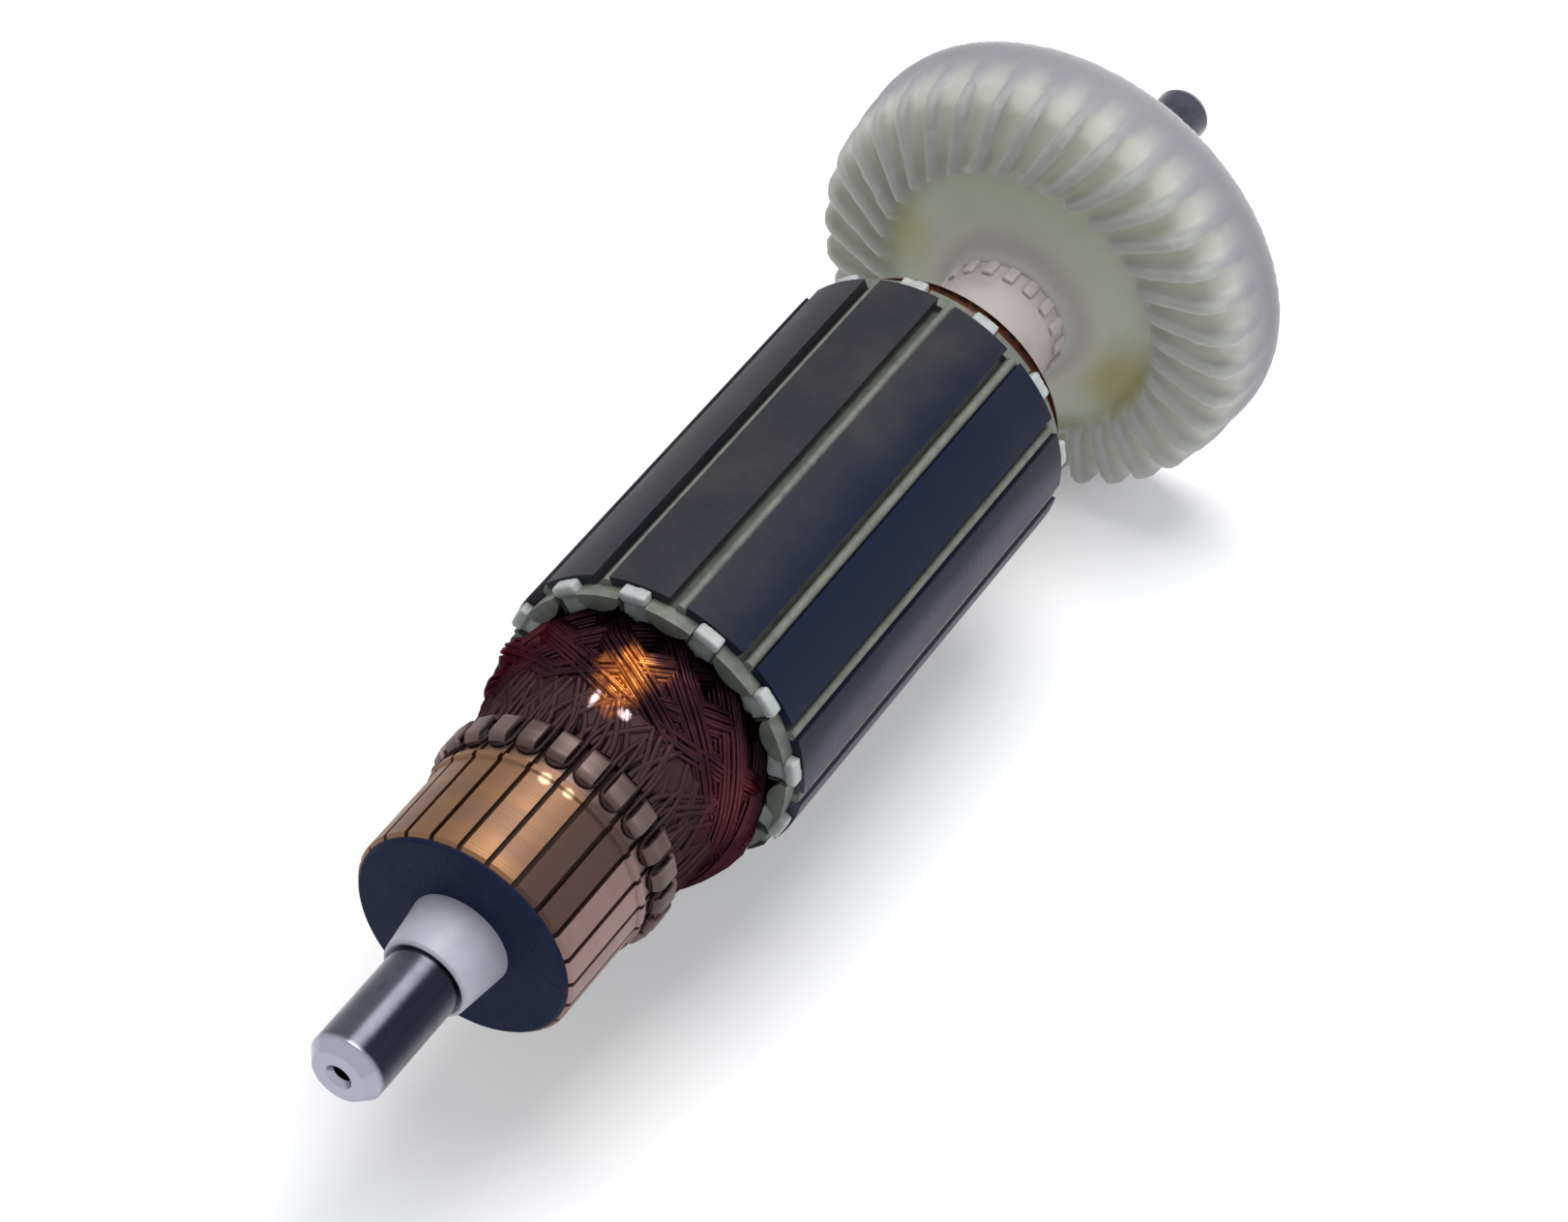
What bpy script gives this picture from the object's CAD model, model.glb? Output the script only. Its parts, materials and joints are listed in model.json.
"""Looks of a small universal motor armature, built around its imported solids.

The shaft lies along Y, with the commutator towards -Y and the fan towards +Y.
Lengths are in metres and angles in radians, unless a name ends in _mm or _deg.
"""

import json
import math
import random

import bmesh
import bpy
from mathutils import Matrix, Vector


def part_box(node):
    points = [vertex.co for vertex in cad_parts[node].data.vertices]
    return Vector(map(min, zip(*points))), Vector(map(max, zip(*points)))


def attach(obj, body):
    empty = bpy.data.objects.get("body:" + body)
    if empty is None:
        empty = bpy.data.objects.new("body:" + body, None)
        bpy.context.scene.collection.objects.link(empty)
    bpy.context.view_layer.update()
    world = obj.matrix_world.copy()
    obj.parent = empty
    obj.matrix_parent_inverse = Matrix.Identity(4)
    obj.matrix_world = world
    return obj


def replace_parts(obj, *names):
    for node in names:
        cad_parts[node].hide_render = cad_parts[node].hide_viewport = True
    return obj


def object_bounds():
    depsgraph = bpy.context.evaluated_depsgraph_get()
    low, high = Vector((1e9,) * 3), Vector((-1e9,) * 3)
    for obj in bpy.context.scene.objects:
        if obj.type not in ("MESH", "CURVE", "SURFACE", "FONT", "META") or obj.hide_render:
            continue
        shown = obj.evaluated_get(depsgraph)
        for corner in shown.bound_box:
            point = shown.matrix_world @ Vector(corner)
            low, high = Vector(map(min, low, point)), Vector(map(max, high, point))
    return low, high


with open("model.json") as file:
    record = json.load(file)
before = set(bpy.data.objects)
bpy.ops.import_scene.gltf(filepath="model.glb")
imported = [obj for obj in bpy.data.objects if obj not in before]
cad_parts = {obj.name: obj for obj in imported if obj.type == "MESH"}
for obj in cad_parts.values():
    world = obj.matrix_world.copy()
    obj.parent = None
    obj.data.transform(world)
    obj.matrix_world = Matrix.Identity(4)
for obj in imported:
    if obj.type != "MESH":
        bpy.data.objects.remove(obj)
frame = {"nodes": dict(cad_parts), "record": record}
cad_low, cad_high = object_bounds()
NODES = frame["nodes"]
MM = 0.001

# ---------------------------------------------------------------- sizes from the frame

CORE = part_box("lamination_stack")
CORE_FRONT = CORE[0].y
CORE_BACK = CORE[1].y
SLEEVE_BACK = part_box("rear_sleeve")[1].y

# ---------------------------------------------------------------- sizes of the rotor

BAR_COUNT = 24
BAR_PHASE_DEG = 8.5
SLOT_COUNT = 12
SLOT_PHASE_DEG = 10.0
COIL_SPAN = 5
COIL_SIDE_DEG = 3.5
WIRE_D = 0.5 * MM
HOOK_FRONT = 26.6 * MM
HOOK_FLOOR_R = 12.0 * MM
JOURNAL_R_MM = 4.0
TRACK_R_MM = 12.3
TOOTH_R_MM = 17.3
FLOOR_GAP = 0.2 * MM


def bar_nodes():
    """Names of the commutator bars."""
    return [f"commutator_bar_{i + 1:02d}" for i in range(BAR_COUNT)]


def around(radius, angle, along):
    """A point at a radius and an angle in radians about the shaft, and a place along it.

    Angle 0 points along +X and a quarter turn points along -Z.
    """
    return Vector((radius * math.cos(angle), along, -radius * math.sin(angle)))


def mix(a, b, t):
    """A number between a and b, a at t = 0 and b at t = 1."""
    return a + (b - a) * t


def smooth(t):
    """Eases t between 0 and 1, level at both ends."""
    t = min(max(t, 0.0), 1.0)
    return t * t * (3.0 - 2.0 * t)


# ---------------------------------------------------------------- shared shader groups


def new_group(name, inputs, outputs):
    """An empty shader group with named sockets, and its two end nodes."""
    group = bpy.data.node_groups.new(name, "ShaderNodeTree")
    for socket, kind, value in inputs:
        made = group.interface.new_socket(name=socket, in_out="INPUT", socket_type=kind)
        if value is not None:
            made.default_value = value
    for socket, kind in outputs:
        group.interface.new_socket(name=socket, in_out="OUTPUT", socket_type=kind)
    start = group.nodes.new("NodeGroupInput")
    end = group.nodes.new("NodeGroupOutput")
    return group, start, end


def soft_range(group):
    """A node that eases a value from 0 to 1 between two limits."""
    fit = group.nodes.new("ShaderNodeMapRange")
    fit.interpolation_type = "SMOOTHSTEP"
    return fit


def distance_out(group, vector):
    """Nodes that give a point's distance from the shaft's axis."""
    flat = group.nodes.new("ShaderNodeVectorMath")
    flat.operation = "MULTIPLY"
    flat.inputs[1].default_value = (1.0, 0.0, 1.0)
    length = group.nodes.new("ShaderNodeVectorMath")
    length.operation = "LENGTH"
    group.links.new(vector, flat.inputs[0])
    group.links.new(flat.outputs["Vector"], length.inputs[0])
    return length.outputs["Value"]


def distance_along(group, vector):
    """Nodes that give a point's place along the shaft."""
    split = group.nodes.new("ShaderNodeSeparateXYZ")
    group.links.new(vector, split.inputs["Vector"])
    return split.outputs["Y"]


def mottle_group():
    """Soft patches between two limits, for stains, haze and uneven varnish."""
    group, start, end = new_group(
        "mottle",
        [
            ("Vector", "NodeSocketVector", None),
            ("Scale", "NodeSocketFloat", 100.0),
            ("Low", "NodeSocketFloat", 0.4),
            ("High", "NodeSocketFloat", 0.6),
        ],
        [("Mask", "NodeSocketFloat")],
    )
    links = group.links
    patches = group.nodes.new("ShaderNodeTexNoise")
    patches.inputs["Detail"].default_value = 4.0
    patches.inputs["Roughness"].default_value = 0.6
    fit = soft_range(group)
    links.new(start.outputs["Vector"], patches.inputs["Vector"])
    links.new(start.outputs["Scale"], patches.inputs["Scale"])
    links.new(patches.outputs["Fac"], fit.inputs["Value"])
    links.new(start.outputs["Low"], fit.inputs["From Min"])
    links.new(start.outputs["High"], fit.inputs["From Max"])
    links.new(fit.outputs["Result"], end.inputs["Mask"])
    return group


def turning_group():
    """Fine rings about the shaft, as a lathe or a brush leaves them."""
    group, start, end = new_group(
        "turning_marks",
        [("Vector", "NodeSocketVector", None), ("Rings", "NodeSocketFloat", 4000.0)],
        [("Height", "NodeSocketFloat")],
    )
    links = group.links
    rings = group.nodes.new("ShaderNodeTexNoise")
    rings.noise_dimensions = "1D"
    rings.inputs["Detail"].default_value = 3.0
    links.new(distance_along(group, start.outputs["Vector"]), rings.inputs["W"])
    links.new(start.outputs["Rings"], rings.inputs["Scale"])
    links.new(rings.outputs["Fac"], end.inputs["Height"])
    return group


def band_group():
    """A mask that rises from 0 to 1 between two places along the shaft."""
    group, start, end = new_group(
        "band_along",
        [
            ("Vector", "NodeSocketVector", None),
            ("From", "NodeSocketFloat", 0.0),
            ("To", "NodeSocketFloat", 1.0),
        ],
        [("Mask", "NodeSocketFloat")],
    )
    links = group.links
    fit = soft_range(group)
    links.new(distance_along(group, start.outputs["Vector"]), fit.inputs["Value"])
    links.new(start.outputs["From"], fit.inputs["From Min"])
    links.new(start.outputs["To"], fit.inputs["From Max"])
    links.new(fit.outputs["Result"], end.inputs["Mask"])
    return group


def radius_group():
    """A mask that rises from 0 to 1 between two distances from the shaft's axis."""
    group, start, end = new_group(
        "band_out",
        [
            ("Vector", "NodeSocketVector", None),
            ("From", "NodeSocketFloat", 0.0),
            ("To", "NodeSocketFloat", 1.0),
        ],
        [("Mask", "NodeSocketFloat")],
    )
    links = group.links
    fit = soft_range(group)
    links.new(distance_out(group, start.outputs["Vector"]), fit.inputs["Value"])
    links.new(start.outputs["From"], fit.inputs["From Min"])
    links.new(start.outputs["To"], fit.inputs["From Max"])
    links.new(fit.outputs["Result"], end.inputs["Mask"])
    return group


def spot_group():
    """A mask that is 1 at a place and fades to 0 at its edge, with a ragged outline."""
    group, start, end = new_group(
        "spot",
        [
            ("Vector", "NodeSocketVector", None),
            ("Place", "NodeSocketVector", None),
            ("Stretch", "NodeSocketVector", None),
            ("Core", "NodeSocketFloat", 0.3),
            ("Ragged", "NodeSocketFloat", 0.3),
            ("Scale", "NodeSocketFloat", 300.0),
        ],
        [("Mask", "NodeSocketFloat")],
    )
    links = group.links
    shift = group.nodes.new("ShaderNodeVectorMath")
    shift.operation = "SUBTRACT"
    stretch = group.nodes.new("ShaderNodeVectorMath")
    stretch.operation = "MULTIPLY"
    length = group.nodes.new("ShaderNodeVectorMath")
    length.operation = "LENGTH"
    patches = group.nodes.new("ShaderNodeTexNoise")
    patches.inputs["Detail"].default_value = 3.0
    centre = group.nodes.new("ShaderNodeMath")
    centre.operation = "SUBTRACT"
    centre.inputs[1].default_value = 0.5
    ragged = group.nodes.new("ShaderNodeMath")
    ragged.operation = "MULTIPLY_ADD"
    fit = soft_range(group)
    fit.inputs["From Min"].default_value = 1.0
    links.new(start.outputs["Vector"], shift.inputs[0])
    links.new(start.outputs["Place"], shift.inputs[1])
    links.new(shift.outputs["Vector"], stretch.inputs[0])
    links.new(start.outputs["Stretch"], stretch.inputs[1])
    links.new(stretch.outputs["Vector"], length.inputs[0])
    links.new(start.outputs["Vector"], patches.inputs["Vector"])
    links.new(start.outputs["Scale"], patches.inputs["Scale"])
    links.new(patches.outputs["Fac"], centre.inputs[0])
    links.new(centre.outputs["Value"], ragged.inputs[0])
    links.new(start.outputs["Ragged"], ragged.inputs[1])
    links.new(length.outputs["Value"], ragged.inputs[2])
    links.new(ragged.outputs["Value"], fit.inputs["Value"])
    links.new(start.outputs["Core"], fit.inputs["From Max"])
    links.new(fit.outputs["Result"], end.inputs["Mask"])
    return group


def bar_middle_group():
    """Moves a point about the shaft to the middle line of its own bar."""
    group, start, end = new_group(
        "bar_middle",
        [
            ("Vector", "NodeSocketVector", None),
            ("Radius", "NodeSocketFloat", 0.012),
        ],
        [("Middle", "NodeSocketVector")],
    )
    links = group.links

    def maths(operation, first, second=None):
        node = group.nodes.new("ShaderNodeMath")
        node.operation = operation
        for value, socket in ((first, node.inputs[0]), (second, node.inputs[1])):
            if isinstance(value, (int, float)):
                socket.default_value = value
            elif value is not None:
                links.new(value, socket)
        return node.outputs["Value"]

    split = group.nodes.new("ShaderNodeSeparateXYZ")
    links.new(start.outputs["Vector"], split.inputs["Vector"])
    angle = maths("ARCTAN2", maths("MULTIPLY", split.outputs["Z"], -1.0), split.outputs["X"])
    phase = math.radians(BAR_PHASE_DEG)
    pitch = math.tau / BAR_COUNT
    index = maths("ROUND", maths("DIVIDE", maths("SUBTRACT", angle, phase), pitch))
    middle = maths("MULTIPLY_ADD", index, pitch)
    middle.node.inputs[2].default_value = phase
    join = group.nodes.new("ShaderNodeCombineXYZ")
    radius = start.outputs["Radius"]
    links.new(maths("MULTIPLY", maths("COSINE", middle), radius), join.inputs["X"])
    links.new(split.outputs["Y"], join.inputs["Y"])
    down = maths("MULTIPLY", maths("SINE", middle), -1.0)
    links.new(maths("MULTIPLY", down, radius), join.inputs["Z"])
    links.new(join.outputs["Vector"], end.inputs["Middle"])
    return group


def hollow_group():
    """A mask that rises from 0 at the front edges of the fan's blades to 1 between them."""
    group, start, end = new_group(
        "fan_hollow",
        [("Vector", "NodeSocketVector", None), ("Depth", "NodeSocketFloat", 0.0015)],
        [("Mask", "NodeSocketFloat")],
    )
    blade_inner_r = 17.2 * MM
    blade_outer_r = 26.2 * MM
    blade_front = 121.2 * MM
    blade_fall = 4.2 * MM
    fall_power = 3.2
    links = group.links
    out = group.nodes.new("ShaderNodeMapRange")
    out.inputs["From Min"].default_value = blade_inner_r
    out.inputs["From Max"].default_value = blade_outer_r
    bend = group.nodes.new("ShaderNodeMath")
    bend.operation = "POWER"
    bend.inputs[1].default_value = fall_power
    front = group.nodes.new("ShaderNodeMath")
    front.operation = "MULTIPLY_ADD"
    front.inputs[1].default_value = blade_fall
    front.inputs[2].default_value = blade_front
    behind = group.nodes.new("ShaderNodeMath")
    behind.operation = "SUBTRACT"
    fit = soft_range(group)
    links.new(distance_out(group, start.outputs["Vector"]), out.inputs["Value"])
    links.new(out.outputs["Result"], bend.inputs[0])
    links.new(bend.outputs["Value"], front.inputs[0])
    links.new(distance_along(group, start.outputs["Vector"]), behind.inputs[0])
    links.new(front.outputs["Value"], behind.inputs[1])
    links.new(behind.outputs["Value"], fit.inputs["Value"])
    links.new(start.outputs["Depth"], fit.inputs["From Max"])
    links.new(fit.outputs["Result"], end.inputs["Mask"])
    return group


MOTTLE = mottle_group()
SPOT = spot_group()
HOLLOW = hollow_group()
BAR_MIDDLE = bar_middle_group()
TURNING = turning_group()
ALONG = band_group()
OUTWARD = radius_group()


class Finish:
    """A material under construction: its nodes, its shader and its Object coordinates."""

    def __init__(self, name, **settings):
        self.material = bpy.data.materials.new(name)
        self.material.use_nodes = True
        tree = self.material.node_tree
        self.nodes = tree.nodes
        self.links = tree.links
        self.shader = self.nodes["Principled BSDF"]
        self.place = self.nodes.new("ShaderNodeTexCoord").outputs["Object"]
        for socket, value in settings.items():
            self.shader.inputs[socket.replace("_", " ")].default_value = value

    def effect(self, group, **values):
        """One of the shared groups, with its own values; gives its only output."""
        node = self.nodes.new("ShaderNodeGroup")
        node.node_tree = group
        self.links.new(self.place, node.inputs["Vector"])
        for socket, value in values.items():
            node.inputs[socket].default_value = value
        return node.outputs[0]

    def blend(self, mask, low, high):
        """A colour between two colours or two colour outputs."""
        node = self.nodes.new("ShaderNodeMix")
        node.data_type = "RGBA"
        self.links.new(mask, node.inputs["Factor"])
        for value, socket in ((low, node.inputs[6]), (high, node.inputs[7])):
            if isinstance(value, tuple):
                socket.default_value = (*value, 1.0)
            else:
                self.links.new(value, socket)
        return node.outputs[2]

    def level(self, mask, low, high):
        """A number between two numbers."""
        node = self.nodes.new("ShaderNodeMapRange")
        node.inputs["To Min"].default_value = low
        node.inputs["To Max"].default_value = high
        self.links.new(mask, node.inputs["Value"])
        return node.outputs["Result"]

    def spot(self, radius_mm, angle_deg, along_mm, size_mm, core=0.3, ragged=0.4, scale=300.0):
        """A patch around a place, of half sizes across, along and in depth."""
        place = around(radius_mm * MM, math.radians(angle_deg), along_mm * MM)
        across, along = (1.0 / (value * MM) for value in size_mm)
        return self.effect(
            SPOT,
            Place=place,
            Stretch=(across, along, across),
            Core=core,
            Ragged=ragged,
            Scale=scale,
        )

    def combine(self, a, b, operation="MULTIPLY"):
        """Two masks put together."""
        node = self.nodes.new("ShaderNodeMath")
        node.operation = operation
        self.links.new(a, node.inputs[0])
        self.links.new(b, node.inputs[1])
        return node.outputs["Value"]

    def feed(self, output, socket):
        """Joins an output to one of the shader's inputs."""
        self.links.new(output, self.shader.inputs[socket])

    def bump(self, height, distance):
        """Relief of the given depth."""
        node = self.nodes.new("ShaderNodeBump")
        node.inputs["Distance"].default_value = distance
        self.links.new(height, node.inputs["Height"])
        self.feed(node.outputs["Normal"], "Normal")


# ---------------------------------------------------------------- finishes


def shaft_steel():
    """Ground steel: fine grinding rings, a darker side and a few stains."""
    f = Finish("shaft_steel", Metallic=1.0)
    stains = f.effect(MOTTLE, Scale=260.0, Low=0.44, High=0.72)
    rings = f.effect(TURNING, Rings=9000.0)
    dark_side = f.spot(JOURNAL_R_MM, -36.0, 0.0, (3.0, 40.0), core=0.4, ragged=0.25)
    rubbed = f.spot(JOURNAL_R_MM, -77.0, -2.0, (1.3, 30.0), core=0.2, ragged=0.3)
    bright_end = f.effect(ALONG, From=-0.0052, To=-0.0060)
    clean = f.blend(stains, (0.080, 0.082, 0.108), (0.050, 0.051, 0.070))
    shaded = f.blend(dark_side, clean, (0.018, 0.019, 0.032))
    shaded = f.blend(rubbed, shaded, (0.085, 0.085, 0.105))
    f.feed(f.blend(bright_end, shaded, (0.36, 0.365, 0.44)), "Base Color")
    f.feed(f.level(f.combine(stains, rings, "ADD"), 0.15, 0.28), "Roughness")
    f.bump(rings, 0.00001)
    return f.material


def bar_copper():
    """Turned copper: a burnished track, tarnished on one side, with varnished hooks."""
    f = Finish("bar_copper", Metallic=1.0)
    rings = f.effect(TURNING, Rings=5000.0)
    left_glint = f.spot(TRACK_R_MM, -80.0, 25.2, (0.9, 0.8), core=0.4, ragged=0.5, scale=700.0)
    right_glint = f.spot(TRACK_R_MM, -67.5, 25.3, (0.8, 0.7), core=0.4, ragged=0.5, scale=700.0)
    f.place = f.effect(BAR_MIDDLE, Radius=TRACK_R_MM * MM)
    haze = f.effect(MOTTLE, Scale=260.0, Low=0.32, High=0.72)
    hooks = f.effect(ALONG, From=0.0262, To=0.0272)
    tarnish = f.spot(TRACK_R_MM, -36.0, 21.0, (7.6, 22.0), core=0.5, ragged=0.4, scale=160.0)
    pink_side = f.spot(TRACK_R_MM, 0.0, 20.0, (8.0, 22.0), core=0.4, ragged=0.3, scale=160.0)
    track = f.blend(rings, (0.20, 0.102, 0.048), (0.25, 0.135, 0.07))
    worn = f.blend(haze, track, (0.175, 0.096, 0.068))
    aged = f.blend(tarnish, worn, (0.078, 0.046, 0.042))
    pinkish = f.blend(pink_side, aged, (0.27, 0.175, 0.165))
    varnished = f.blend(haze, (0.078, 0.050, 0.047), (0.155, 0.112, 0.104))
    glints = f.combine(left_glint, right_glint, "MAXIMUM")
    bright = f.blend(glints, pinkish, (0.62, 0.45, 0.28))
    f.feed(f.blend(hooks, bright, varnished), "Base Color")
    f.feed(f.level(f.combine(haze, hooks, "ADD"), 0.42, 0.48), "Roughness")
    f.bump(rings, 0.000015)
    return f.material


def moulding():
    """Blue-black phenolic with a dull skin, brown with brush dust between the bars."""
    f = Finish("moulding", IOR=1.5, Specular_IOR_Level=0.1)
    grain = f.effect(MOTTLE, Scale=2600.0, Low=0.3, High=0.75)
    dust = f.effect(MOTTLE, Scale=330.0, Low=0.46, High=0.8)
    grooves = f.effect(ALONG, From=0.01352, To=0.0138)
    body = f.blend(grain, (0.006, 0.011, 0.038), (0.010, 0.016, 0.048))
    face = f.blend(dust, body, (0.014, 0.019, 0.054))
    f.feed(f.blend(grooves, face, (0.045, 0.026, 0.019)), "Base Color")
    f.feed(f.level(grain, 0.55, 0.68), "Roughness")
    f.bump(grain, 0.00003)
    return f.material


def sleeve_plastic():
    """White moulded sleeve with a faint warm stain."""
    f = Finish("sleeve_plastic", Subsurface_Weight=0.15, Subsurface_Scale=0.002)
    f.shader.inputs["Subsurface Radius"].default_value = (1.0, 0.8, 0.7)
    stain = f.effect(MOTTLE, Scale=240.0, Low=0.45, High=0.75)
    far = f.effect(ALONG, From=0.05, To=0.09)
    near_end = f.blend(stain, (0.47, 0.47, 0.54), (0.40, 0.40, 0.47))
    far_end = f.blend(stain, (0.46, 0.41, 0.395), (0.385, 0.335, 0.32))
    f.feed(f.blend(far, near_end, far_end), "Base Color")
    f.feed(f.level(stain, 0.42, 0.54), "Roughness")
    f.bump(f.effect(MOTTLE, Scale=3000.0, Low=0.3, High=0.7), 0.00001)
    return f.material


def core_steel():
    """Thin steel sheets on edge under a film of dark varnish."""
    f = Finish("core_steel", Metallic=0.2, Specular_IOR_Level=0.1)
    sheets = f.effect(TURNING, Rings=2000.0)
    haze = f.effect(MOTTLE, Scale=110.0, Low=0.4, High=0.72)
    blue_side = f.spot(TOOTH_R_MM, -38.0, 70.0, (12.0, 70.0), core=0.3, ragged=0.4, scale=90.0)
    steel = f.blend(sheets, (0.018, 0.019, 0.027), (0.030, 0.031, 0.040))
    lilac_side = f.spot(TOOTH_R_MM, 8.0, 70.0, (6.0, 70.0), core=0.5, ragged=0.3, scale=90.0)
    worn = f.blend(haze, steel, (0.040, 0.040, 0.042))
    blue = f.blend(blue_side, worn, (0.008, 0.013, 0.032))
    f.feed(f.blend(lilac_side, blue, (0.070, 0.068, 0.098)), "Base Color")
    f.feed(f.level(f.combine(haze, sheets, "ADD"), 0.4, 0.54), "Roughness")
    f.bump(sheets, 0.000018)
    return f.material


def insulator_plastic():
    """White moulded end insulator, lightly varnished."""
    f = Finish("insulator_plastic", Subsurface_Weight=0.1, Subsurface_Scale=0.0015)
    stain = f.effect(MOTTLE, Scale=420.0, Low=0.42, High=0.72)
    f.feed(f.blend(stain, (0.46, 0.49, 0.48), (0.34, 0.36, 0.35)), "Base Color")
    f.feed(f.level(stain, 0.4, 0.54), "Roughness")
    f.bump(f.effect(MOTTLE, Scale=2400.0, Low=0.3, High=0.7), 0.00002)
    return f.material


def insulating_paper(name, light, dark):
    """Varnished paper or pressboard in the slots."""
    f = Finish(name, Specular_IOR_Level=0.35)
    soak = f.effect(MOTTLE, Scale=500.0, Low=0.35, High=0.7)
    f.feed(f.blend(soak, light, dark), "Base Color")
    f.feed(f.level(soak, 0.45, 0.6), "Roughness")
    f.bump(f.effect(MOTTLE, Scale=4000.0, Low=0.3, High=0.7), 0.00002)
    return f.material


def enamelled_wire():
    """Enamelled copper wire: dark wine under thick varnish, bright copper where it is thin."""
    f = Finish("winding_wire", Metallic=1.0)
    f.shader.inputs["Specular Tint"].default_value = (0.40, 0.26, 0.32, 1.0)
    tone = f.effect(MOTTLE, Scale=170.0, Low=0.36, High=0.66)
    fine = f.effect(MOTTLE, Scale=900.0, Low=0.3, High=0.7)
    thin = f.spot(13.8, -80.0, 39.8, (3.6, 5.6), core=0.3, ragged=1.3, scale=420.0)
    dull_red = f.spot(14.0, -12.0, 39.5, (6.0, 5.0), core=0.2, ragged=0.7, scale=260.0)
    ruddy = f.spot(15.0, -130.0, 43.0, (5.0, 4.0), core=0.1, ragged=0.9, scale=260.0)
    rear = f.effect(ALONG, From=0.095, To=0.1)
    near_bars = f.effect(ALONG, From=0.0385, To=0.0345)
    dark = f.blend(tone, (0.055, 0.018, 0.025), (0.018, 0.007, 0.011))
    dusty = f.blend(near_bars, dark, (0.043, 0.025, 0.027))
    copper = f.blend(fine, (0.56, 0.20, 0.05), (0.27, 0.065, 0.02))
    red = f.combine(dull_red, ruddy, "MAXIMUM")
    lit = f.blend(thin, f.blend(red, dusty, (0.095, 0.028, 0.034)), copper)
    lit = f.blend(f.effect(ALONG, From=0.0405, To=0.0442), lit, (0.010, 0.004, 0.006))
    left_glint = f.spot(13.4, -86.0, 35.6, (0.55, 1.5), core=0.5, ragged=0.5, scale=900.0)
    right_glint = f.spot(13.6, -71.0, 35.9, (0.9, 0.8), core=0.5, ragged=0.5, scale=900.0)
    front = f.blend(f.combine(left_glint, right_glint, "MAXIMUM"), lit, (0.82, 0.60, 0.62))
    f.feed(f.blend(rear, front, (0.052, 0.022, 0.012)), "Base Color")
    f.feed(f.level(f.combine(fine, near_bars, "MAXIMUM"), 0.27, 0.62), "Roughness")
    f.bump(fine, 0.00003)
    return f.material


def fan_nylon():
    """Natural nylon: milky where it is thick, paler where light comes through a thin wall."""
    f = Finish("fan_nylon", IOR=1.5, Subsurface_Weight=1.0, Subsurface_Scale=0.006)
    f.shader.inputs["Specular IOR Level"].default_value = 0.25
    f.shader.inputs["Subsurface Radius"].default_value = (1.0, 1.0, 0.85)
    cloud = f.effect(MOTTLE, Scale=60.0, Low=0.35, High=0.68)
    web = f.effect(OUTWARD, From=0.0176, To=0.0156)
    rim = f.effect(OUTWARD, From=0.0252, To=0.0266)
    hub = f.effect(OUTWARD, From=0.0125, To=0.0085)
    hollow = f.effect(HOLLOW, Depth=0.0019)
    yellow = f.spot(15.0, 195.0, 121.0, (7.0, 9.0), core=0.2, ragged=0.3, scale=120.0)
    amber = f.spot(15.5, 24.0, 121.0, (8.5, 9.0), core=0.2, ragged=0.3, scale=120.0)
    ridge = f.blend(cloud, (0.325, 0.33, 0.315), (0.36, 0.365, 0.35))
    milky = f.blend(hollow, ridge, (0.545, 0.55, 0.52))
    thin = f.blend(cloud, (0.42, 0.445, 0.40), (0.48, 0.495, 0.45))
    thin = f.blend(yellow, thin, (0.42, 0.42, 0.29))
    thin = f.blend(amber, thin, (0.34, 0.32, 0.19))
    thin = f.blend(hub, thin, (0.50, 0.48, 0.45))
    body = f.blend(web, milky, thin)
    f.feed(f.blend(rim, body, (0.27, 0.265, 0.295)), "Base Color")
    f.feed(f.level(cloud, 0.56, 0.66), "Roughness")
    f.bump(f.effect(MOTTLE, Scale=1500.0, Low=0.3, High=0.7), 0.00002)
    return f.material


FINISHES = {
    "shaft_steel": shaft_steel(),
    "bar_copper": bar_copper(),
    "moulding": moulding(),
    "sleeve_plastic": sleeve_plastic(),
    "core_steel": core_steel(),
    "insulator_plastic": insulator_plastic(),
    "slot_liner": insulating_paper("slot_liner", (0.13, 0.14, 0.115), (0.075, 0.08, 0.068)),
    "slot_wedge": insulating_paper("slot_wedge", (0.185, 0.20, 0.165), (0.125, 0.132, 0.118)),
    "winding_wire": enamelled_wire(),
    "fan_nylon": fan_nylon(),
}


def dress_nodes():
    """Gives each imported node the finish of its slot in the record."""
    for part in frame["record"]["subparts"]:
        node = NODES[part["node"]]
        node.data.materials.clear()
        node.data.materials.append(FINISHES[part["material_slot"]])


# ---------------------------------------------------------------- new pieces


def add_piece(name, data, slot):
    """Links a finished mesh or curve as a piece of the rotor."""
    piece = bpy.data.objects.new(name, data)
    bpy.context.scene.collection.objects.link(piece)
    data.materials.append(FINISHES[slot])
    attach(piece, "root")
    return piece


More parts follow.
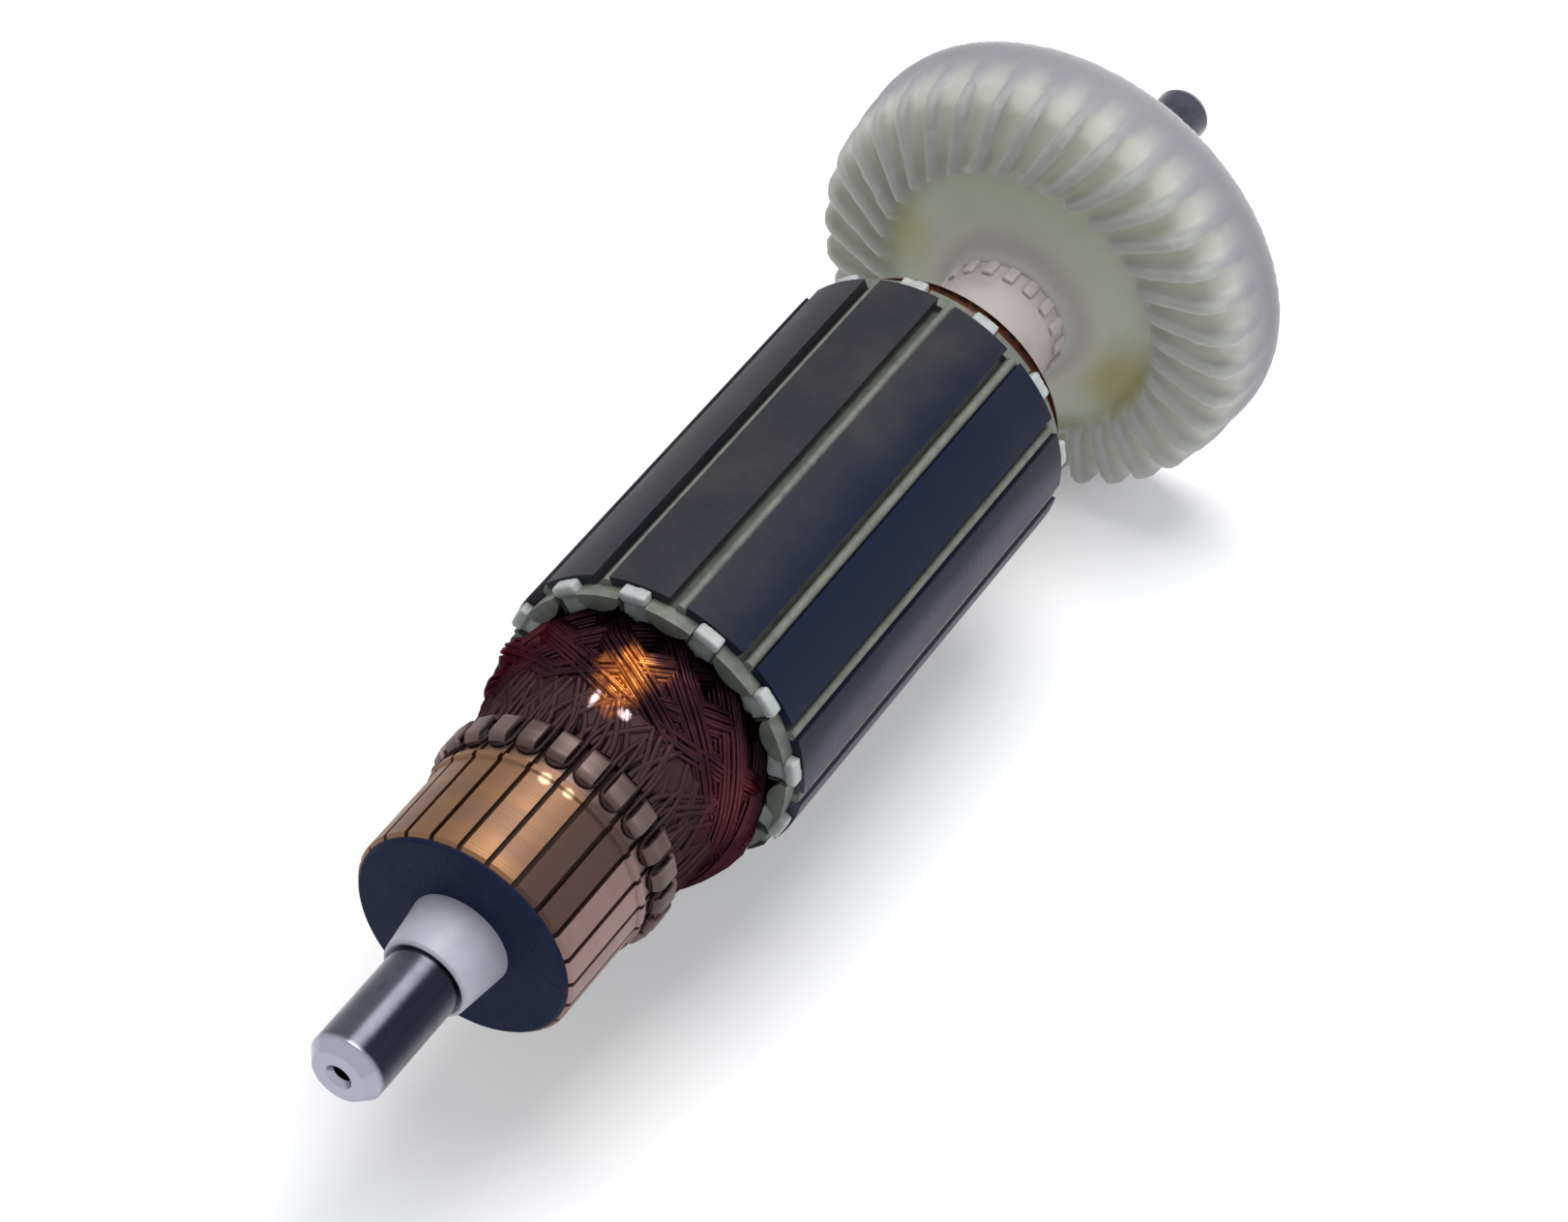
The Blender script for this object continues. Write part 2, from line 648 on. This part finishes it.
def soften(name, slot, width, chosen):
    """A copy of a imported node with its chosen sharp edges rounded, shown in its place."""
    flat_angle = math.radians(1.0)
    sharp_angle = math.radians(35.0)
    shaded_angle = math.radians(32.0)
    mesh = bmesh.new()
    mesh.from_mesh(NODES[name].data)
    mesh.transform(NODES[name].matrix_world)
    bmesh.ops.remove_doubles(mesh, verts=mesh.verts[:], dist=2e-6)
    bmesh.ops.dissolve_limit(
        mesh, angle_limit=flat_angle, verts=mesh.verts[:], edges=mesh.edges[:]
    )
    sharp = []
    for edge in mesh.edges:
        middle = (edge.verts[0].co + edge.verts[1].co) / 2
        if len(edge.link_faces) == 2 and edge.calc_face_angle() > sharp_angle:
            if chosen(middle):
                sharp.append(edge)
    bmesh.ops.bevel(
        mesh,
        geom=sharp,
        offset=width,
        offset_type="OFFSET",
        affect="EDGES",
        segments=2,
        profile=0.5,
        material=-1,
        clamp_overlap=True,
    )
    for face in mesh.faces:
        face.smooth = True
    for edge in mesh.edges:
        if len(edge.link_faces) == 2 and edge.calc_face_angle() > shaded_angle:
            edge.smooth = False
    data = bpy.data.meshes.new(name + "_soft")
    mesh.to_mesh(data)
    mesh.free()
    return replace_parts(add_piece(name + "_soft", data, slot), name)


def on_hook(point):
    """True for a place on the hook at the back end of a bar."""
    return point.y > HOOK_FRONT and math.hypot(point.x, point.z) > HOOK_FLOOR_R


def soft_bars():
    """Every bar with its hook rounded over."""
    for name in bar_nodes():
        soften(name, "bar_copper", 0.22 * MM, on_hook)


def remould(name, slot, voxel, passes):
    """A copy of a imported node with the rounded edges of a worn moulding, shown in its place."""
    data = NODES[name].data.copy()
    data.transform(NODES[name].matrix_world)
    source = bpy.data.objects.new(name + "_source", data)
    bpy.context.scene.collection.objects.link(source)
    remesh = source.modifiers.new("remesh", "REMESH")
    remesh.mode = "VOXEL"
    remesh.voxel_size = voxel
    relax = source.modifiers.new("relax", "SMOOTH")
    relax.factor = 0.5
    relax.iterations = passes
    shaped = source.evaluated_get(bpy.context.evaluated_depsgraph_get())
    result = bpy.data.meshes.new_from_object(shaped)
    result.name = name + "_soft"
    bpy.data.objects.remove(source)
    bpy.data.meshes.remove(data)
    result.materials.clear()
    for face in result.polygons:
        face.use_smooth = True
    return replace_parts(add_piece(name + "_soft", result, slot), name)


def soft_mouldings():
    """The fan and both end insulators with rounded edges."""
    remould("fan", "fan_nylon", 0.42 * MM, 9)
    remould("front_end_insulator", "insulator_plastic", 0.24 * MM, 7)
    remould("rear_end_insulator", "insulator_plastic", 0.24 * MM, 7)


def sleeve_teeth():
    """Low ribs round the far end of the rear sleeve, which key it to the fan."""
    mesh = bmesh.new()
    count = 18
    width = 1.1 * MM
    length = 2.2 * MM
    height = 1.3 * MM
    middle_r = 7.05 * MM
    for tooth in range(count):
        angle = math.tau * tooth / count
        made = bmesh.ops.create_cube(mesh, size=1.0)["verts"]
        bmesh.ops.scale(mesh, vec=(width, length, height), verts=made)
        bmesh.ops.rotate(mesh, matrix=Matrix.Rotation(angle, 3, "Y"), verts=made)
        centre = around(middle_r, angle, SLEEVE_BACK - length / 2)
        bmesh.ops.translate(mesh, vec=centre, verts=made)
    bmesh.ops.bevel(
        mesh,
        geom=mesh.edges[:],
        offset=0.3 * MM,
        affect="EDGES",
        segments=3,
        profile=0.5,
        material=-1,
    )
    for face in mesh.faces:
        face.smooth = True
    data = bpy.data.meshes.new("sleeve_teeth")
    mesh.to_mesh(data)
    mesh.free()
    return add_piece("sleeve_teeth", data, "sleeve_plastic")


def wire_curve(name, diameter, sides=2):
    """An empty curve whose splines come out as round wires."""
    curve = bpy.data.curves.new(name, "CURVE")
    curve.dimensions = "3D"
    curve.bevel_depth = diameter / 2
    curve.bevel_resolution = sides
    curve.use_fill_caps = True
    return curve


def lay_wire(curve, points):
    """Adds one wire through the points."""
    spline = curve.splines.new("POLY")
    spline.points.add(len(points) - 1)
    for target, point in zip(spline.points, points):
        target.co = (*point, 1.0)
    spline.use_smooth = True


def head_point(front, t):
    """Middle of a coil head, from its own slot at t = 0 to the slot it returns through.

    Gives the radius, the angle past its own slot and the place along the shaft.
    """
    side = COIL_SIDE_DEG
    angle = math.radians(side + (30.0 * COIL_SPAN - 2.0 * side) * t)
    from_middle = abs(2.0 * t - 1.0)
    reach = math.sin(math.pi * t)
    if front:
        radius = (11.3 + 2.9 * from_middle ** 0.9 - 0.4 * t) * MM
        along = CORE_FRONT + (-3.8 - 6.6 * reach + 0.5 * t) * MM
    else:
        radius = (10.8 + 2.4 * from_middle ** 1.3 - 0.3 * t) * MM
        along = CORE_BACK + (3.3 + 0.5 * reach - 0.2 * t) * MM
    return radius, angle, along


def head_path(front, coil):
    """Points of one coil head, each with its outward and its sideways direction."""
    steps = 28
    dip_share = 0.11
    dip_inward = 2.2 * MM
    dip_along = (2.4 if front else -1.6) * MM
    lean = -0.75 if front else 0.75
    start = math.radians(SLOT_PHASE_DEG + 30.0 * coil)
    points = []
    for step in range(steps + 1):
        t = step / steps
        radius, angle, along = head_point(front, t)
        dip = max(0.0, 1.0 - min(t, 1.0 - t) / dip_share)
        points.append(around(radius - dip_inward * dip, start + angle, along + dip_along * dip))
    frames = []
    for step, point in enumerate(points):
        ahead = points[min(step + 1, steps)] - points[max(step - 1, 0)]
        away = Vector((point.x, 0.0, point.z)).normalized()
        away.y = lean
        side = ahead.cross(away).normalized()
        frames.append((point, side.cross(ahead).normalized(), side))
    return frames


def crown_wires(name, front, seed):
    """The coil heads at one end of the core, wire by wire."""
    rng = random.Random(seed)
    curve = wire_curve(name, WIRE_D)
    bundle = (2.05 if front else 1.85) * MM
    strands = 23
    half_turn_deg = 135.0
    for coil in range(SLOT_COUNT):
        frames = head_path(front, coil)
        swell = rng.uniform(0.0, math.tau)
        for strand in range(strands):
            share = strand / (strands - 1)
            place = math.radians(mix(-half_turn_deg, half_turn_deg, share))
            drift = rng.uniform(-0.1, 0.1)
            depth = rng.uniform(-0.16, 0.04) * MM
            phase = rng.uniform(0.0, math.tau)
            points = []
            for step, (point, out, side) in enumerate(frames):
                t = step / (len(frames) - 1)
                turn = place + drift * math.sin(math.pi * t) + 0.04 * math.sin(9.0 * t + phase)
                reach = bundle + depth + 0.12 * MM * math.sin(6.0 * t + swell)
                points.append(point + (out * math.cos(turn) + side * math.sin(turn)) * reach)
            lay_wire(curve, points)
    return add_piece(name, curve, "winding_wire")


def crown_bundles(name, front):
    """Solid bundles under the outer wires of the coil heads."""
    curve = wire_curve(name, (3.9 if front else 3.5) * MM, sides=4)
    for coil in range(SLOT_COUNT):
        lay_wire(curve, [point for point, _, _ in head_path(front, coil)])
    return add_piece(name, curve, "winding_wire")


def lathe(name, profile, slot):
    """A closed ring turned from a profile of (radius, place along the shaft) points."""
    mesh = bmesh.new()
    verts = [mesh.verts.new((r, y, 0.0)) for r, y in profile]
    edges = [mesh.edges.new((a, b)) for a, b in zip(verts, verts[1:] + verts[:1])]
    bmesh.ops.spin(
        mesh,
        geom=verts + edges,
        cent=(0.0, 0.0, 0.0),
        axis=(0.0, 1.0, 0.0),
        angle=math.tau,
        steps=96,
        use_merge=True,
    )
    bmesh.ops.remove_doubles(mesh, verts=mesh.verts[:], dist=1e-7)
    bmesh.ops.recalc_face_normals(mesh, faces=mesh.faces[:])
    for face in mesh.faces:
        face.smooth = True
    data = bpy.data.meshes.new(name)
    mesh.to_mesh(data)
    mesh.free()
    return add_piece(name, data, slot)


def crown_cores():
    """Varnished mass under the visible wires at both ends."""
    inner_mm = 6.5
    front_mm = [
        (inner_mm, 14.6),
        (11.6, 14.6),
        (11.75, 16.4),
        (12.35, 14.6),
        (12.9, 12.9),
        (13.5, 10.2),
        (14.2, 7.6),
        (14.4, 5.4),
        (12.4, 2.1),
        (inner_mm, 2.1),
    ]
    rear_mm = [
        (inner_mm, 2.1),
        (13.8, 2.1),
        (14.6, 3.0),
        (14.4, 4.6),
        (13.1, 5.3),
        (inner_mm, 5.3),
    ]
    front = [(r * MM, CORE_FRONT - out * MM) for r, out in front_mm]
    rear = [(r * MM, CORE_BACK + out * MM) for r, out in rear_mm]
    lathe("front_crown_mass", front, "winding_wire")
    lathe("rear_crown_mass", rear, "winding_wire")


def slot_conductors():
    """Straight wires that fill each slot between the two crowns."""
    pitch = 1.02 * MM
    past_core = 2.2 * MM
    rows = 5
    ends = [CORE_FRONT - past_core, CORE_BACK + past_core]
    curve = wire_curve("slot_conductors", 1.0 * MM, sides=1)
    for slot in range(SLOT_COUNT):
        angle = math.radians(SLOT_PHASE_DEG + 30.0 * slot)
        for row in range(rows):
            radius = mix(10.4, 13.5, row / (rows - 1)) * MM
            count = 2 if row < 3 else 3
            for k in range(count):
                centre = angle + (k - (count - 1) / 2) * pitch / radius
                lay_wire(curve, [around(radius, centre, y) for y in ends])
    return add_piece("slot_conductors", curve, "winding_wire")


def hook_leads():
    """One wire loops round each hook, and both its ends run back into the crown."""
    rng = random.Random(11)
    curve = wire_curve("hook_leads", WIRE_D)
    seat_r = 12.5 * MM
    crown_r = 13.2 * MM
    crown_y = 38.5 * MM
    back_y = 31.0 * MM
    nose_y = 27.0 * MM
    half = 1.22 * MM
    lead_steps = 12
    bend_steps = 8
    for bar in range(BAR_COUNT):
        centre = math.radians(BAR_PHASE_DEG + 15.0 * bar)
        throws = [math.radians(rng.uniform(5.0, 11.0)) for _ in range(2)]
        leads = []
        for way, throw in zip((-1.0, 1.0), throws):
            lead = []
            for step in range(lead_steps + 1):
                t = step / lead_steps
                side = way * (half / seat_r * (1.0 - t) + throw * smooth(t))
                radius = mix(seat_r, crown_r, t)
                lead.append(around(radius, centre + side, mix(back_y, crown_y, t)))
            leads.append(lead)
        bend = []
        for step in range(bend_steps + 1):
            turn = math.pi * step / bend_steps
            side = -half * math.cos(turn)
            along = nose_y + half - half * math.sin(turn)
            bend.append(around(seat_r, centre + side / seat_r, along))
        coming, going = leads
        lay_wire(curve, coming[:0:-1] + bend + going[1:])
    return add_piece("hook_leads", curve, "winding_wire")


def lead_bundles():
    """Varnished bundles of leads that fill the neck between the hooks and the crown."""
    rng = random.Random(23)
    curve = wire_curve("lead_bundles", 0.8 * MM)
    count = 5 * BAR_COUNT
    steps = 8
    for wire in range(count):
        start = math.tau * (wire + rng.uniform(0.0, 0.8)) / count
        throw = math.radians(rng.choice((-1.0, 1.0)) * rng.uniform(6.0, 20.0))
        lift = rng.uniform(-0.2, 0.2) * MM
        points = []
        for step in range(steps + 1):
            t = step / steps
            radius = mix(12.0 * MM, 13.6 * MM, t ** 1.1) + lift
            along = mix(31.5 * MM, 38.8 * MM, t)
            points.append(around(radius, start + throw * smooth(t), along))
        lay_wire(curve, points)
    return add_piece("lead_bundles", curve, "winding_wire")


# ---------------------------------------------------------------- stage, light and camera


def seen_rays(tree):
    """1 for rays that show a surface, seen plainly, in a reflection or through glass."""
    path = tree.nodes.new("ShaderNodeLightPath")
    seen = path.outputs["Is Camera Ray"]
    for ray in ("Is Glossy Ray", "Is Transmission Ray"):
        most = tree.nodes.new("ShaderNodeMath")
        most.operation = "MAXIMUM"
        tree.links.new(seen, most.inputs[0])
        tree.links.new(path.outputs[ray], most.inputs[1])
        seen = most.outputs["Value"]
    return seen


def stage_material():
    """White floor that keeps a soft shadow."""
    glow_strength = 0.22
    material = bpy.data.materials.new("stage_white")
    material.use_nodes = True
    tree = material.node_tree
    shader = tree.nodes["Principled BSDF"]
    shader.inputs["Base Color"].default_value = (0.9, 0.9, 0.9, 1.0)
    shader.inputs["Roughness"].default_value = 0.9
    shader.inputs["Emission Color"].default_value = (1.0, 1.0, 1.0, 1.0)
    glow = tree.nodes.new("ShaderNodeMath")
    glow.operation = "MULTIPLY"
    glow.inputs[1].default_value = glow_strength
    tree.links.new(seen_rays(tree), glow.inputs[0])
    tree.links.new(glow.outputs["Value"], shader.inputs["Emission Strength"])
    return material


def stage_floor():
    """A wide pale floor just under the lowest point of the fan."""
    half_width = 3.0
    mesh = bmesh.new()
    bmesh.ops.create_grid(mesh, x_segments=1, y_segments=1, size=half_width)
    drop = (0.0, 0.0, cad_low.z - FLOOR_GAP)
    bmesh.ops.translate(mesh, verts=mesh.verts[:], vec=drop)
    data = bpy.data.meshes.new("floor")
    mesh.to_mesh(data)
    mesh.free()
    data.materials.append(stage_material())
    floor = bpy.data.objects.new("floor", data)
    bpy.context.scene.collection.objects.link(floor)


def stage_world():
    """Even pale surroundings, plain white where they are seen."""
    world = bpy.data.worlds.new("studio")
    bpy.context.scene.world = world
    world.use_nodes = True
    tree = world.node_tree
    back = tree.nodes["Background"]
    back.inputs["Color"].default_value = (0.93, 0.95, 1.0, 1.0)
    back.inputs["Strength"].default_value = 0.42
    white = tree.nodes.new("ShaderNodeBackground")
    white.inputs["Color"].default_value = (1.0, 1.0, 1.0, 1.0)
    choose = tree.nodes.new("ShaderNodeMixShader")
    tree.links.new(seen_rays(tree), choose.inputs["Fac"])
    tree.links.new(back.outputs["Background"], choose.inputs[1])
    tree.links.new(white.outputs["Background"], choose.inputs[2])
    tree.links.new(choose.outputs["Shader"], tree.nodes["World Output"].inputs["Surface"])


def soft_lamp(name, place, target, size, power, colour=(1.0, 1.0, 1.0)):
    """A square soft box that faces a point."""
    light = bpy.data.lights.new(name, "AREA")
    light.shape = "SQUARE"
    light.size = size
    light.energy = power
    light.color = colour
    lamp = bpy.data.objects.new(name, light)
    lamp.location = place
    way = Vector(target) - Vector(place)
    lamp.rotation_euler = way.to_track_quat("-Z", "Y").to_euler()
    bpy.context.scene.collection.objects.link(lamp)


def stage_lamps():
    """One large soft box overhead, and a weak one from the side."""
    middle = (0.0, 0.07, 0.0)
    soft_lamp("overhead", (0.04, 0.25, 0.75), middle, 0.5, 4.6)
    soft_lamp("side_fill", (0.7, 0.1, 0.35), middle, 0.5, 1.1, (0.92, 0.95, 1.0))


def aim_camera():
    """The viewing place: ahead of the commutator end, to its right and above."""
    seat_place = (0.1764, -0.2204, 0.3234)
    azimuth = math.radians(31.05)
    elevation = math.radians(43.93)
    forward = Vector((
        -math.sin(azimuth) * math.cos(elevation),
        math.cos(azimuth) * math.cos(elevation),
        -math.sin(elevation),
    ))
    right = forward.cross(Vector((0.0, 0.0, 1.0))).normalized()
    up = right.cross(forward)
    camera = bpy.data.cameras.new("view")
    camera.sensor_fit = "HORIZONTAL"
    camera.sensor_width = 36.0
    camera.lens = 105.05
    camera.clip_start = 0.01
    seat = bpy.data.objects.new("view", camera)
    turn = Matrix((right, up, -forward)).transposed().to_4x4()
    seat.matrix_world = Matrix.Translation(seat_place) @ turn
    bpy.context.scene.collection.objects.link(seat)
    bpy.context.scene.camera = seat


# ---------------------------------------------------------------- assembly

dress_nodes()
crown_cores()
crown_bundles("front_bundles", True)
crown_bundles("rear_bundles", False)
front_crown = crown_wires("front_crown_wires", True, 5)
crown_wires("rear_crown_wires", False, 6)
slot_conductors()
hook_leads()
lead_bundles()
soft_bars()
soft_mouldings()
sleeve_teeth()
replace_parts(front_crown, "armature_winding")

stage_floor()
stage_world()
stage_lamps()
aim_camera()
bpy.context.scene.view_settings.view_transform = "Standard"
